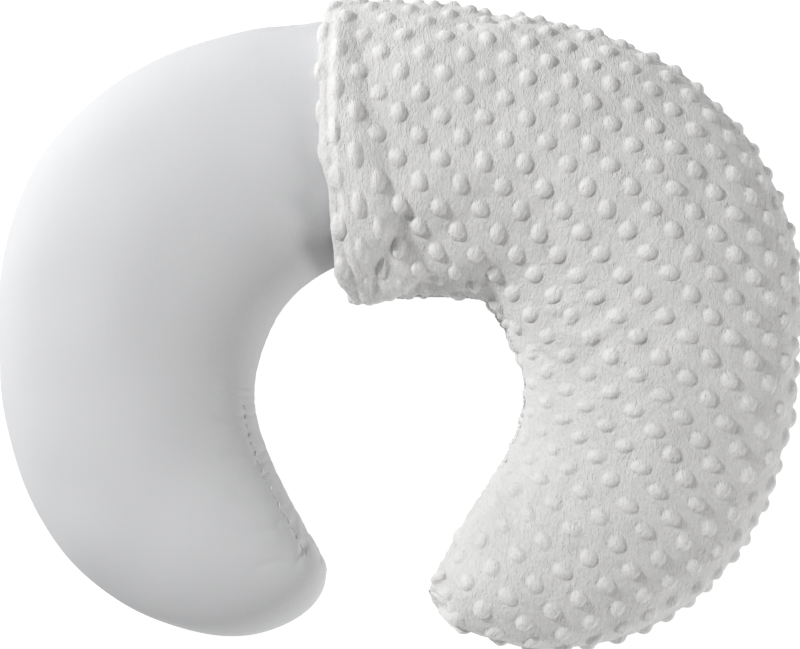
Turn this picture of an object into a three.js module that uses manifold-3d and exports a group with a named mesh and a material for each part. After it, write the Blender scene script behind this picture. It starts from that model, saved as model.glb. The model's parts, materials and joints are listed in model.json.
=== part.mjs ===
// A C-shaped nursing pillow with its dotted plush slipcover drawn over the right half.
// Millimetres, +Z up. It lies on the floor with its open mouth towards -Y.
// Plan positions are measured from the centre of the round lap hole, and the finished
// group is then shifted so that its origin is the bottom centre of its bounding box.
import * as THREE from "three";
import { mergeVertices } from "three/addons/utils/BufferGeometryUtils.js";
import Module from "manifold-3d";

const wasm = await Module();
wasm.setup();

// Driving dimensions
const holeRadius = 89; // the ticking's round inner curve
const armX = 256; // hole centre to the widest point of the bare arm
const armY = 44; // how far above the hole centre that point lies
const crownY = 246; // hole centre to the back edge of the crown
const lean = 4.5; // the covered arm lies this much further out than the bare one
const seamZ = 62; // height of the seam that joins upper and lower panels
const crownHeight = 68; // seam to the crest of the pillow
const fullHalf = 78; // half-width from which the pillow is at its full height
const gap = 0.3; // between pieces that touch
const tickingWall = 0.9;
const plushWall = 2.5;
const looseness = 9.5; // the slipcover stands out past the bare pillow all round
const foldX = -42; // where the slipcover is turned back on itself
const turnedInEnd = 26; // how far the tucked-in half reaches under the outer layer
const seamSlot = 0.9; // half the slot between two panels that a seam thread fills
const threadRadius = 0.55;
const wallRadius = 86; // the slipcover's round inner curve
const flapY = 60; // the straight loose edge of the slipcover across the hole's top
const zipDepth = 3.4; // from the slipcover's face back to the middle of the zip
const zipBottomAngle = -25; // degrees, the closed lower end of the zip
const slotEndAngle = -32.6; // degrees, where the panels come together again past the zip
const sliderAngle = 34; // degrees, where the slider stands
const zipSlot = 5; // half the height of the slot that the closed zip fills
const openSlot = 6.2; // the same where the zip is open
const openSpread = 2.2; // how far each half of the open zip lies from the seam's height
const stitchZ = 7.4; // seam to the row of stitches that holds a zip tape

const plush = { color: 0xd6d5d4, roughness: 0.95 };
const cotton = { color: 0xdcdde0, roughness: 0.85 };
const nylon = { color: 0xe4e4e2, roughness: 0.5 };
const metal = { color: 0xb9babc, roughness: 0.3, metalness: 1 };

const pillow = new THREE.Group();

// ---- solids ----

function toSolid(geometry) {
  const bare = geometry.clone();
  bare.deleteAttribute("normal");
  bare.deleteAttribute("uv");
  const merged = mergeVertices(bare, 1e-4);
  return new wasm.Manifold(
    new wasm.Mesh({
      numProp: 3,
      vertProperties: new Float32Array(merged.attributes.position.array),
      triVerts: new Uint32Array(merged.index.array),
    }),
  );
}

function toGeometry(solid) {
  const mesh = solid.getMesh();
  const geometry = new THREE.BufferGeometry();
  geometry.setAttribute("position", new THREE.BufferAttribute(mesh.vertProperties, 3));
  geometry.setIndex(new THREE.BufferAttribute(mesh.triVerts, 1));
  return geometry;
}

function addPiece(name, shape, finish) {
  const geometry = shape.isBufferGeometry ? shape : toGeometry(shape);
  const mesh = new THREE.Mesh(geometry, new THREE.MeshStandardMaterial(finish));
  mesh.name = name;
  pillow.add(mesh);
  return mesh;
}

// Skins a row of rings that all have as many points, in order, and closes both ends.
function loft(rings) {
  const points = rings.flat();
  const around = rings[0].length;
  const faces = [];
  for (let i = 0; i < rings.length - 1; i++) {
    for (let j = 0; j < around; j++) {
      const a = i * around + j;
      const b = i * around + ((j + 1) % around);
      faces.push(a, b, a + around, b, b + around, a + around);
    }
  }
  const last = (rings.length - 1) * around;
  for (let j = 1; j < around - 1; j++) {
    faces.push(0, j + 1, j);
    faces.push(last, last + j, last + j + 1);
  }
  const geometry = new THREE.BufferGeometry().setFromPoints(points);
  geometry.setIndex(faces);
  return geometry;
}

function block(low, high) {
  const size = new THREE.Vector3().subVectors(high, low);
  const box = new THREE.BoxGeometry(size.x, size.y, size.z);
  const middle = new THREE.Vector3().addVectors(low, high).multiplyScalar(0.5);
  return toSolid(box.translate(middle.x, middle.y, middle.z));
}

const far = 400;
const aboveSeam = (z) => block(new THREE.Vector3(-far, -far, seamZ + z), new THREE.Vector3(far, far, far));
const belowSeam = (z) => block(new THREE.Vector3(-far, -far, -far), new THREE.Vector3(far, far, seamZ - z));

// ---- plan outlines ----
// Each plan is the right-hand half: an inner and an outer curve, both from the crown's
// centre line to the tip of the arm.

const degrees = THREE.MathUtils.degToRad;
const smooth = THREE.MathUtils.smoothstep;
const none = () => 0;
const constant = (value) => () => value;
const point = (x, y) => new THREE.Vector2(x, y);
const onCircle = (radius, angle) => point(radius * Math.cos(degrees(angle)), radius * Math.sin(degrees(angle)));

function bezier(path, a, b, c, d) {
  path.add(new THREE.CubicBezierCurve(a, b, c, d));
}

function arc(path, radius, from, to) {
  path.add(new THREE.EllipseCurve(0, 0, radius, radius, degrees(from), degrees(to), true));
}

function tickingPlan() {
  const shift = (x) => lean * smooth(x, 0, 60);
  const tip = point(42.5, -118);
  const bottom = point(98, -159);
  const arcEnd = -20;
  const inner = new THREE.CurvePath();
  arc(inner, holeRadius, 90, arcEnd);
  bezier(inner, onCircle(holeRadius, arcEnd), point(68, -73), point(42.5, -106), tip);
  const outer = new THREE.CurvePath();
  bezier(outer, point(0, crownY), point(164, crownY), point(armX, 176), point(armX, armY));
  bezier(outer, point(armX, armY), point(armX, -117), point(160, -159), bottom);
  bezier(outer, bottom, point(70, -159), point(42.5, -142), tip);
  return { inner, outer, shift };
}

const bendAngle = 38; // where the flap meets the slipcover's round inner curve
const arcEnd = -27; // where that curve ends and the arm's straighter edge begins

// The slipcover is looser: it spans the hole's inner edge at the crown with a straight
// flap, and it ends in a sewn corner beyond the ticking's round tip.
function coverPlan() {
  const corner = point(26, -131);
  const bottom = point(100, -165);
  const bend = onCircle(wallRadius, bendAngle);
  const inner = new THREE.CurvePath();
  inner.add(new THREE.LineCurve(point(0, flapY), point(44, flapY)));
  bezier(inner, point(44, flapY), point(52, flapY), point(60.5, 62), bend);
  arc(inner, wallRadius, bendAngle, arcEnd);
  bezier(inner, onCircle(wallRadius, arcEnd), point(70, -52), point(26, -115), corner);
  const outer = new THREE.CurvePath();
  const side = armX + looseness;
  const back = crownY + looseness;
  bezier(outer, point(0, back), point(168, back), point(side, 180), point(side, armY));
  bezier(outer, point(side, armY), point(side, -120), point(164, -166), bottom);
  bezier(outer, bottom, point(70, -165), point(26, -146), corner);
  return { inner, outer, shift: none };
}

// A point of a plan's curve, moved outwards by spread. t runs from 0 at the crown to 1 at
// the tip, and side is -1 for the left-hand half.
function planPoint(plan, curve, outwards, t, side, spread) {
  const p = curve.getPointAt(t);
  const along = curve.getTangentAt(t);
  const normal = point(-along.y, along.x).multiplyScalar(outwards);
  const x = p.x * side;
  const grow = spread(x);
  return point(x + normal.x * grow * side + plan.shift(x), p.y + normal.y * grow);
}

const innerPoint = (plan, t, side, spread) => planPoint(plan, plan.inner, -1, t, side, spread);
const outerPoint = (plan, t, side, spread) => planPoint(plan, plan.outer, 1, t, side, spread);

// ---- the stuffed form ----

// How high the form stands for a half-width, as a share of its full height.
function dome(share) {
  const q = 1 - Math.min(share, 1);
  return (1 - q * q) ** 0.8;
}

const ribsPerArm = 17;
const sectionPower = 0.85;
// Where each rib's points lie round its section, closest at the seams and underneath.
const sectionAngles = [
  ...[0, 10, 30, 57, 90, 123, 150, 170],
  ...[180, 190, 210, 231, 246, 270, 294, 309, 330, 350],
].map(degrees);

// Where each rib crosses the two curves, as a share of their length: closer at the tip.
function ribShare(i) {
  const even = i / ribsPerArm;
  return 0.45 * even + 0.55 * Math.sin((even * Math.PI) / 2);
}

// A closed C-shaped solid over a plan: an oval section on every rib between the inner and
// outer curves, flattened where it would go below floor(x).
function stuffedForm({ plan, spread = none, rise = none, floor }) {
  const rings = [];
  for (let i = -ribsPerArm; i <= ribsPerArm; i++) {
    const t = ribShare(Math.abs(i));
    const side = i < 0 ? -1 : 1;
    const inner = innerPoint(plan, t, side, spread);
    const outer = outerPoint(plan, t, side, spread);
    const middle = inner.clone().add(outer).multiplyScalar(0.5);
    const half = outer.clone().sub(inner).multiplyScalar(0.5);
    const share = half.length() / (fullHalf + spread(middle.x));
    const height = (crownHeight + rise(middle.x)) * dome(share);
    const ring = sectionAngles.map((angle) => {
      const sine = Math.sin(angle);
      const z = seamZ + Math.sign(sine) * Math.abs(sine) ** sectionPower * height;
      const x = middle.x + half.x * Math.cos(angle);
      const y = middle.y + half.y * Math.cos(angle);
      return new THREE.Vector3(x, y, Math.max(z, floor(x)));
    });
    rings.push(ring);
  }
  return toSolid(loft(rings));
}

// The ticking rests on the floor at the bare left end, on the slipcover at the right, and
// on the slipcover and its turned-in half at the crown.
const underFold = 2.2;
function tickingFloor(x) {
  const onCover = (plushWall + gap) * smooth(x, -66, foldX);
  const onTurnedIn = (underFold + gap) * smooth(x, -66, foldX) * (1 - smooth(x, turnedInEnd, 60));
  return onCover + onTurnedIn;
}

const ticking = tickingPlan();
const cover = coverPlan();
const tickingForm = (offset) =>
  stuffedForm({
    plan: ticking,
    spread: constant(offset),
    rise: constant(offset),
    floor: (x) => tickingFloor(x) - offset,
  });

// The outer layer stands highest over the turned-in half, next to the fold.
const coverRise = (x) => 4.5 + 5 * (1 - smooth(x, foldX + 20, 70));
const coverForm = (offset) =>
  stuffedForm({
    plan: cover,
    spread: constant(offset),
    rise: (x) => coverRise(x) + offset,
    floor: constant(-offset),
  });

// ---- seam lines ----

// Points at the seam's height along a plan's inner or outer curve, on the straight edges
// between its ribs. from and to are shares of the curve, and offset moves the line outwards.
function seamRun(reach, plan, side, from, to, offset) {
  const shares = Array.from({ length: ribsPerArm + 1 }, (_, i) => ribShare(i));
  const onRib = (i) => reach(plan, shares[i], side, constant(offset));
  const low = Math.min(from, to);
  const high = Math.max(from, to);
  const stops = [low, ...shares.filter((t) => t > low && t < high), high];
  const run = stops.map((t) => {
    const next = Math.max(shares.findIndex((share) => share >= t), 1);
    const between = (t - shares[next - 1]) / (shares[next] - shares[next - 1]);
    const p = onRib(next - 1).lerp(onRib(next), between);
    return new THREE.Vector3(p.x, p.y, seamZ);
  });
  return from < to ? run : run.reverse();
}

const up = new THREE.Vector3(0, 0, 1);

// Sweeps a section along a row of points. A section's first number is measured to the
// path's right and its second upwards, so nothing twists.
function sweep(path, section) {
  const rings = path.map((p, i) => {
    const before = path[Math.max(i - 1, 0)];
    const after = path[Math.min(i + 1, path.length - 1)];
    const along = new THREE.Vector3().subVectors(after, before).normalize();
    const right = new THREE.Vector3().crossVectors(along, up).normalize();
    const rise = new THREE.Vector3().crossVectors(right, along);
    return section.map(([a, b]) => p.clone().addScaledVector(right, a).addScaledVector(rise, b));
  });
  return loft(rings);
}

function roundSection(radius) {
  const sides = 6;
  const section = [];
  for (let i = 0; i < sides; i++) {
    const turn = (-i / sides) * Math.PI * 2;
    section.push([radius * Math.cos(turn), radius * Math.sin(turn)]);
  }
  return section;
}

// ---- the pillow inside: filling, ticking and its thread ----

const closingFrom = 0.56; // the stuffing gap, as shares of the left arm's inner curve
const closingTo = 0.84;
const fillingInset = tickingWall + 0.5;

function makePillow() {
  addPiece("fibre_filling", tickingForm(-fillingInset), cotton);
  const wall = tickingForm(0).subtract(tickingForm(-tickingWall));
  addPiece("ticking_top_panel", wall.intersect(aboveSeam(seamSlot)), cotton);
  addPiece("ticking_bottom_panel", wall.intersect(belowSeam(seamSlot)), cotton);

  const middle = -tickingWall / 2;
  const clear = 0.006; // of the curve's length, between one thread's end and the next
  const section = roundSection(threadRadius);
  const seam = [
    ...seamRun(innerPoint, ticking, -1, closingTo + clear, 0.99, middle),
    ...seamRun(outerPoint, ticking, -1, 1, 0.01, middle),
    ...seamRun(outerPoint, ticking, 1, 0, 1, middle),
    ...seamRun(innerPoint, ticking, 1, 0.99, 0.01, middle),
    ...seamRun(innerPoint, ticking, -1, 0, closingFrom - clear, middle),
  ];
  addPiece("ticking_seam_thread", sweep(seam, section), cotton);
  const closing = seamRun(innerPoint, ticking, -1, closingFrom, closingTo, middle);
  addPiece("closing_seam_thread", sweep(closing, section), cotton);
}

// ---- the slipcover ----

// Everything on the slipcover's side of the fold, whose inner end is cut on a slant.
function rightOfFold(inset) {
  const x = foldX + inset;
  const outline = new THREE.Shape([
    point(far, -far),
    point(far, far),
    point(x + 9, far),
    point(x + 7, 262),
    point(x + 1, 244),
    point(x, 220),
    point(x, 105),
    point(x + 6, 77),
    point(x + 17, 58),
    point(x + 17, 20),
    point(-10, -far),
  ]);
  const slab = new THREE.ExtrudeGeometry(outline, { depth: far, bevelEnabled: false });
  return toSolid(slab.translate(0, 0, -far / 4));
}

// What the zip leaves open: a band of the hole's wall, and a wider one along the flap.
function zipOpening() {
  const band = new THREE.Shape();
  const from = degrees(slotEndAngle);
  const to = degrees(50);
  band.absarc(0, 0, wallRadius + 12, from, to, false);
  band.absarc(0, 0, wallRadius - 20, to, from, true);
  const closed = new THREE.ExtrudeGeometry(band, { depth: 2 * zipSlot, bevelEnabled: false });
  const open = block(
    new THREE.Vector3(foldX - 10, flapY - 20, seamZ - openSlot),
    new THREE.Vector3(56, flapY + 20, seamZ + openSlot),
  );
  return toSolid(closed.translate(0, 0, seamZ - zipSlot)).add(open);
}

function makeCover() {
  const solid = coverForm(0).intersect(rightOfFold(0));
  const inside = coverForm(-plushWall).intersect(rightOfFold(plushWall));
  const wall = solid.subtract(inside).subtract(tickingForm(gap)).subtract(zipOpening());
  const grooved = stitchRuns.reduce(
    (left, run) => left.subtract(toSolid(sweep(run, roundSection(threadRadius + gap)))),
    wall,
  );
  addPiece("cover_top_panel", grooved.intersect(aboveSeam(seamSlot)), plush);
  addPiece("cover_bottom_panel", grooved.intersect(belowSeam(seamSlot)), plush);

  const fullness = (x) => 1 - smooth(x, -20, turnedInEnd + 4);
  const turnedIn = stuffedForm({
    plan: ticking,
    spread: (x) => 2 * gap + 3.2 * fullness(x),
    rise: (x) => 2 * gap + 4 * fullness(x),
    floor: constant(plushWall + gap),
  });
  const band = block(
    new THREE.Vector3(foldX, 0, -far),
    new THREE.Vector3(turnedInEnd, far, far),
  );
  const room = coverForm(-plushWall - gap).intersect(rightOfFold(plushWall + gap));
  const tucked = turnedIn.subtract(tickingForm(gap)).intersect(band).intersect(room);
  addPiece("turned_in_cover_half", tucked, plush);

  const middle = -plushWall / 2;
  const seam = [
    ...seamRun(innerPoint, cover, 1, coverShare(slotEndAngle - 0.8), 0.995, middle),
    ...seamRun(outerPoint, cover, 1, 0.99, 0.01, middle),
    ...seamRun(outerPoint, cover, -1, 0, 0.075, middle),
  ];
  addPiece("cover_seam_thread", sweep(seam, roundSection(threadRadius)), plush);
}

// ---- the zip ----

// How far along the slipcover's inner curve, from its middle, the round part reaches an
// angle; and the same as a share of the whole curve.
function coverDistance(angle) {
  const [flap, bend] = cover.inner.curves;
  return flap.getLength() + bend.getLength() + wallRadius * degrees(bendAngle - angle);
}

const coverShare = (angle) => coverDistance(angle) / cover.inner.getLength();

// How far apart the zip's halves have come at a distance past the slider's middle.
function opening(distance) {
  return 1.15 * smooth(distance, 0, 5) + (openSpread - 1.15) * smooth(distance, 4, 45);
}

// The line that one half of the zip follows: up the round wall, along the flap to the fold,
// and back inside to its top end. side is 1 for the upper half and -1 for the lower, and
// extra is how much longer the line is at each end than the zip's chain.
function zipLine(side, extra) {
  const line = [];
  const inward = constant(-zipDepth);
  const start = coverDistance(zipBottomAngle - 1) + extra;
  const slider = coverDistance(sliderAngle);
  const length = cover.inner.getLength();
  const add = (x, y, distance) => {
    line.push(new THREE.Vector3(x, y, seamZ + side * opening(distance)));
  };
  for (let s = start; s > 0; s -= s > slider + 8 ? 5 : 3) {
    const p = innerPoint(cover, s / length, 1, inward);
    add(p.x, p.y, slider - s);
  }
  const y = flapY + zipDepth;
  const turnX = foldX + 23;
  const turnRadius = 4.5;
  for (let x = -4; x > turnX; x -= 6) {
    add(x, y, far);
  }
  for (let turn = 0; turn <= 180; turn += 22.5) {
    const p = onCircle(turnRadius, 270 - turn);
    add(turnX + p.x, y + turnRadius + p.y, far);
  }
  add(turnX + 12, y + 2 * turnRadius, far);
  add(turnX + 30 + extra, y + 2 * turnRadius, far);
  return line;
}

// Each band's front and back, measured back from the middle of the zip, and its two edges.
const coil = { front: -0.9, back: 0.9, low: gap / 2, high: 2 };
const tape = { front: 0.7, back: 1.1, low: coil.high + gap, high: 8.2 };
const topStop = { front: -1.1, back: 1.1, low: 0.5, high: 2 };
const topStopLength = 2;
const tapeExtra = 10; // how far the tapes run on past each end of the chain

// A band that follows one half of the zip, on that half's side of the seam.
function zipBand(side, { front, back, low, high }, path) {
  const [bottom, top] = side > 0 ? [low, high] : [-high, -low];
  return sweep(path, [[front, bottom], [front, top], [back, top], [back, bottom]]);
}

function makeZip() {
  for (const [name, side] of [["upper", 1], ["lower", -1]]) {
    const chain = zipLine(side, 0);
    addPiece(`zip_coil_${name}`, zipBand(side, coil, chain), nylon);
    addPiece(`zip_tape_${name}`, zipBand(side, tape, zipLine(side, tapeExtra)), nylon);
    const from = chain.at(-1).clone().setX(chain.at(-1).x + gap);
    const to = from.clone().setX(from.x + topStopLength);
    addPiece(`zip_top_stop_${name}`, zipBand(side, topStop, [from, to]), metal);
  }
  stitchRuns.forEach((run, i) => {
    addPiece(`zip_stitch_${i ? "lower" : "upper"}`, sweep(run, roundSection(threadRadius)), plush);
  });
}

// The two rows of stitches that hold the tapes, in the slipcover's face.
function stitchRun(side) {
  const run = [
    ...seamRun(innerPoint, cover, -1, 0.09, 0.01, -threadRadius),
    ...seamRun(innerPoint, cover, 1, 0, coverShare(zipBottomAngle - 1), -threadRadius),
  ];
  return run.map((p) => p.setZ(seamZ + side * stitchZ));
}

const stitchRuns = [stitchRun(1), stitchRun(-1)];

// Carries a shape from the zip's own axes (x along the zip, y towards the hole's centre,
// z up) to a place on the zip's arc.
function ontoZip(geometry, angle) {
  const p = onCircle(wallRadius + zipDepth, angle);
  return geometry.rotateZ(degrees(angle + 90)).translate(p.x, p.y, seamZ);
}

function bar(x0, x1, y0, y1, z0, z1) {
  const box = new THREE.BoxGeometry(x1 - x0, y1 - y0, z1 - z0);
  return box.translate((x0 + x1) / 2, (y0 + y1) / 2, (z0 + z1) / 2);
}

// A plate with round corners in the zip's x and z, from y0 to y1.
function plate(x0, x1, halfHeight, radius, y0, y1) {
  const outline = new THREE.Shape();
  const corner = (x, z, from) => {
    outline.absarc(x, z, radius, degrees(from), degrees(from + 90), false);
  };
  corner(x1 - radius, halfHeight - radius, 0);
  corner(x0 + radius, halfHeight - radius, 90);
  corner(x0 + radius, radius - halfHeight, 180);
  corner(x1 - radius, radius - halfHeight, 270);
  const flat = new THREE.ExtrudeGeometry(outline, {
    depth: y1 - y0,
    bevelEnabled: false,
    curveSegments: 4,
  });
  return flat.rotateX(Math.PI / 2).translate(0, y1, 0);
}

const slider = {
  half: 5.5, // half its length
  height: 4.4, // half its height
  front: [1.2, 2.1],
  back: [-2.5, -1.65],
  lugTop: 4.3,
  lugHalf: 2.6,
  lugZ: 0.8,
};

function makeSlider() {
  const { half, height, front, back, lugTop, lugHalf, lugZ } = slider;
  const parts = [
    plate(-half, half, height, 1.6, ...front),
    plate(-half, half, height, 1.6, ...back),
    // the wedge that parts the two coils joins the plates at the open end
    new THREE.CylinderGeometry(0.7, 0.7, 4, 10).translate(half - 1, -0.2, 0),
    // the lug that holds the pull
    bar(-lugHalf, -lugHalf + 1.2, front[1] - 0.3, lugTop, -lugZ, lugZ),
    bar(lugHalf - 1.2, lugHalf, front[1] - 0.3, lugTop, -lugZ, lugZ),
    bar(-lugHalf, lugHalf, lugTop - 0.9, lugTop, -lugZ, lugZ),
  ];
  // lips that keep the coils in, with a slit between them for each tape
  for (const side of [-1, 1]) {
    for (const [x0, x1, z] of [[-half + 1, 0.6, 3], [0.2, half - 1.2, 3.8]]) {
      parts.push(bar(x0, x1, -0.4, 1.4, side * z - 0.4, side * z + 0.4));
      parts.push(bar(x0, x1, -1.8, -1.4, side * z - 0.4, side * z + 0.4));
    }
  }
  const body = parts.map(toSolid).reduce((whole, part) => whole.add(part));
  addPiece("zip_slider", ontoZip(toGeometry(body), sliderAngle), metal);
}

const pull = { axisY: 2.7, barRadius: 0.45, length: 14, height: 2.8, half: 0.5, tilt: 4 };

function makePull() {
  const { axisY, barRadius, length, height, half, tilt } = pull;
  const eye = 4.4; // length of the eye that the lug stands in
  const inside = 1.25; // half the eye's height
  const outside = height - 0.3;
  const crossbar = new THREE.CylinderGeometry(barRadius, barRadius, 2 * outside, 10);
  const parts = [
    plate(-length, -eye, height, 1.4, -half, half),
    crossbar.rotateX(Math.PI / 2),
    bar(-eye - 1.5, 0.2, 0.05 - half, half - 0.05, inside, outside),
    bar(-eye - 1.5, 0.2, 0.05 - half, half - 0.05, -outside, -inside),
  ];
  const whole = parts.map(toSolid).reduce((sum, part) => sum.add(part));
  const fingerHole = plate(-length + 2, -length + 6.5, 1.3, 0.8, -2 * half, 2 * half);
  const shape = toGeometry(whole.subtract(toSolid(fingerHole)));
  const turned = shape.rotateZ(degrees(-tilt)).translate(0, axisY, 0);
  addPiece("zip_pull", ontoZip(turned, sliderAngle), metal);
}

function makeBottomStop() {
  const staple = bar(-0.9, 0.9, -1.2, 1.2, -2, 2);
  addPiece("zip_bottom_stop", ontoZip(staple, zipBottomAngle - 1.9), metal);
}

makePillow();
makeCover();
makeZip();
makeSlider();
makePull();
makeBottomStop();

// Puts the origin at the bottom centre of the whole object's box.
const bounds = new THREE.Box3().setFromObject(pillow);
const centre = bounds.getCenter(new THREE.Vector3());
pillow.position.set(-centre.x, -centre.y, -bounds.min.z);

export default pillow;
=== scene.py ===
import json
import math

import bpy
import numpy as np
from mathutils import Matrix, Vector


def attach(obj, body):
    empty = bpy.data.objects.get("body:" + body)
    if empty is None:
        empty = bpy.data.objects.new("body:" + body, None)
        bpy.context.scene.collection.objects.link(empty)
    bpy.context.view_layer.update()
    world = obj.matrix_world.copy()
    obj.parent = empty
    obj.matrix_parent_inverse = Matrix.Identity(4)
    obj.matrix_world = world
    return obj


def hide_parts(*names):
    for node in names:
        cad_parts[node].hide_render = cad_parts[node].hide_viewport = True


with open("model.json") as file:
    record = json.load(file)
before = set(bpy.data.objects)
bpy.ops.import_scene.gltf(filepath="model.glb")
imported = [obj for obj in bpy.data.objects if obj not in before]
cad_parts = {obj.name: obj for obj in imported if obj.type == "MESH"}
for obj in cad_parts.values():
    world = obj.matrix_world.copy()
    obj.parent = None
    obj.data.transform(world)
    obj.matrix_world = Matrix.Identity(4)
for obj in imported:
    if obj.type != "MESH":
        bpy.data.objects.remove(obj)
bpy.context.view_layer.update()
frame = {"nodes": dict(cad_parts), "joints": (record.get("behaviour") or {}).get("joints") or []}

mm = 0.001
slideJoint = next(joint for joint in frame["joints"] if joint["name"] == "zip_slide")
# centre of the lap hole, and height of the seams
holeX, holeY, seamZ = (value / mm for value in slideJoint["pos_m"])
zUp = np.array([0.0, 0.0, 1.0])


def toPart(points):  # from millimetres round the lap hole's centre to metres in the part's frame
    return (np.asarray(points, float) + [holeX, holeY, 0.0]) * mm


def unit(vectors):
    return vectors / np.maximum(np.linalg.norm(vectors, axis=-1, keepdims=True), 1e-9)


def smooth(x, low, high):  # 0 below low, 1 above high and an even slope between
    t = np.clip((np.asarray(x, float) - low) / (high - low), 0, 1)
    return t * t * (3 - 2 * t)


# The seams' curves in plan, in millimetres from the lap hole's centre.
plan = {
    "holeRadius": 89,
    "armX": 256,
    "armY": 44,
    "crownY": 246,
    "lean": 4.5,
    "tickingArcEnd": -20,
    "looseness": 9.5,
    "wallRadius": 86,
    "bendAngle": 38,
    "coverArcEnd": -27,
    "flapY": 60,
    "bareTip": (42.5, -118),
    "bareBottom": (98, -159),
    "coverTip": (26, -131),
    "coverBottom": (100, -165),
}
runSteps = 120


def onCircle(radius, angle):
    return (radius * math.cos(math.radians(angle)), radius * math.sin(math.radians(angle)))


def bezierRun(a, b, c, d):
    a, b, c, d = (np.array(p, float) for p in (a, b, c, d))
    t = np.linspace(0, 1, runSteps)[:, None]
    return a * (1 - t) ** 3 + 3 * b * t * (1 - t) ** 2 + 3 * c * t * t * (1 - t) + d * t ** 3


def arcRun(radius, start, end):
    return np.array([onCircle(radius, angle) for angle in np.linspace(start, end, runSteps)])


def joinRuns(*runs):
    return np.concatenate([runs[0]] + [run[1:] for run in runs[1:]])


def distances(line):  # length along a row of points, from its start to each of them
    return np.concatenate([[0], np.cumsum(np.linalg.norm(np.diff(line, axis=0), axis=1))])


def atDistance(line, wanted):
    reached = distances(line)
    return np.stack([np.interp(wanted, reached, line[:, k]) for k in range(line.shape[1])], 1)


def atShare(line, share):
    return atDistance(line, np.asarray(share) * distances(line)[-1])


def tickingPlan():
    armX, armY, crownY, arcEnd = plan["armX"], plan["armY"], plan["crownY"], plan["tickingArcEnd"]
    tip, bottom = plan["bareTip"], plan["bareBottom"]
    inner = joinRuns(
        arcRun(plan["holeRadius"], 90, arcEnd),
        bezierRun(onCircle(plan["holeRadius"], arcEnd), (68, -73), (42.5, -106), tip),
    )
    outer = joinRuns(
        bezierRun((0, crownY), (164, crownY), (armX, 176), (armX, armY)),
        bezierRun((armX, armY), (armX, -117), (160, -159), bottom),
        bezierRun(bottom, (70, -159), (42.5, -142), tip),
    )
    return inner, outer


def coverPlan():
    flapY, wall, bend = plan["flapY"], plan["wallRadius"], plan["bendAngle"]
    armY, loose = plan["armY"], plan["looseness"]
    side, back = plan["armX"] + loose, plan["crownY"] + loose
    tip, bottom = plan["coverTip"], plan["coverBottom"]
    inner = joinRuns(
        np.array([(0.0, flapY), (44.0, flapY)]),
        bezierRun((44, flapY), (52, flapY), (60.5, 62), onCircle(wall, bend)),
        arcRun(wall, bend, plan["coverArcEnd"]),
        bezierRun(onCircle(wall, plan["coverArcEnd"]), (70, -52), (26, -115), tip),
    )
    outer = joinRuns(
        bezierRun((0, back), (168, back), (side, 180), (side, armY)),
        bezierRun((side, armY), (side, -120), (164, -166), bottom),
        bezierRun(bottom, (70, -165), (26, -146), tip),
    )
    return inner, outer


# A form is a grid of points: one row for each ring round the pillow, from end to end, and
# one column for each place round the ring, from the inner seam over the top to the outer
# seam and back underneath.

form = {
    "columns": 76,  # round each ring of the loose mesh that the cloth simulation takes
    "fullHalf": 78,
    "crownHeight": 68,
    "sectionPower": 0.85,
    "tipPower": 0.8,
    "narrow": (5, 40),
    "closerAtTips": 0.55,
    "slimming": 5.0,  # the crest starts this much lower, and the air in it brings it back
    "seamInset": -0.8,
}


def ringShare(e):
    near = form["closerAtTips"]
    return (1 - near) * e + near * np.sin(e * math.pi / 2)


def ringGrid(inner, outer, rise, lean, bow=None):
    turn = np.linspace(0, 2 * math.pi, form["columns"], endpoint=False)
    middle, half = (inner + outer) / 2, (outer - inner) / 2
    width = np.linalg.norm(half, axis=1)
    half = half * np.clip(1 - form["seamInset"] / np.maximum(width, 1e-6), 0.3, 1)[:, None]
    short = 1 - np.minimum(width / form["fullHalf"], 1)
    height = (form["crownHeight"] + rise) * (1 - short ** 2) ** form["tipPower"]
    height = height - form["slimming"] * smooth(width, *form["narrow"])
    grid = np.zeros((len(inner), len(turn), 3))
    across = -np.cos(turn)  # -1 at the inner seam, 1 at the outer
    grid[:, :, :2] = middle[:, None] + half[:, None] * across[None, :, None]
    sine = np.sin(turn)
    lift = np.sign(sine) * np.abs(sine) ** form["sectionPower"]
    grid[:, :, 2] = seamZ + lift[None] * height[:, None]
    crest = np.maximum(sine, 0) ** 2
    grid[:, :, :2] += half[:, None] * (lean[:, None] * crest[None])[:, :, None]
    if bow is not None:
        grid[:, :, 0] += bow(grid[:, :, 1], across[None] * np.ones((len(inner), 1)))
    return grid


def closedFaces(rows, columns):
    at = np.arange(rows * columns).reshape(rows, columns)
    right = np.roll(at, -1, axis=1)
    quads = np.stack([at[:-1], at[1:], right[1:], right[:-1]], -1).reshape(-1, 4)
    first, last = rows * columns, rows * columns + 1
    caps = [(first, at[0, j], right[0, j]) for j in range(columns)]
    caps += [(last, right[-1, j], at[-1, j]) for j in range(columns)]
    return quads, np.array(caps)


def meshFrom(name, points, quads, triangles):
    mesh = bpy.data.meshes.new(name)
    corners = np.concatenate([quads.ravel(), triangles.ravel()]).astype(np.int32)
    sizes = np.concatenate([np.full(len(quads), 4), np.full(len(triangles), 3)])
    mesh.vertices.add(len(points))
    mesh.vertices.foreach_set("co", np.ascontiguousarray(points, np.float32).ravel())
    mesh.loops.add(len(corners))
    mesh.loops.foreach_set("vertex_index", corners)
    mesh.polygons.add(len(sizes))
    mesh.polygons.foreach_set("loop_start", (np.cumsum(sizes) - sizes).astype(np.int32))
    mesh.update(calc_edges=True)
    mesh.validate()
    mesh.polygons.foreach_set("use_smooth", np.ones(len(mesh.polygons), bool))
    return mesh


def placed(name, mesh):
    piece = bpy.data.objects.new(name, mesh)
    bpy.context.scene.collection.objects.link(piece)
    return piece


def alone(piece):
    bpy.ops.object.select_all(action="DESELECT")
    piece.select_set(True)
    bpy.context.view_layer.objects.active = piece


inflateFrames = 20


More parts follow.
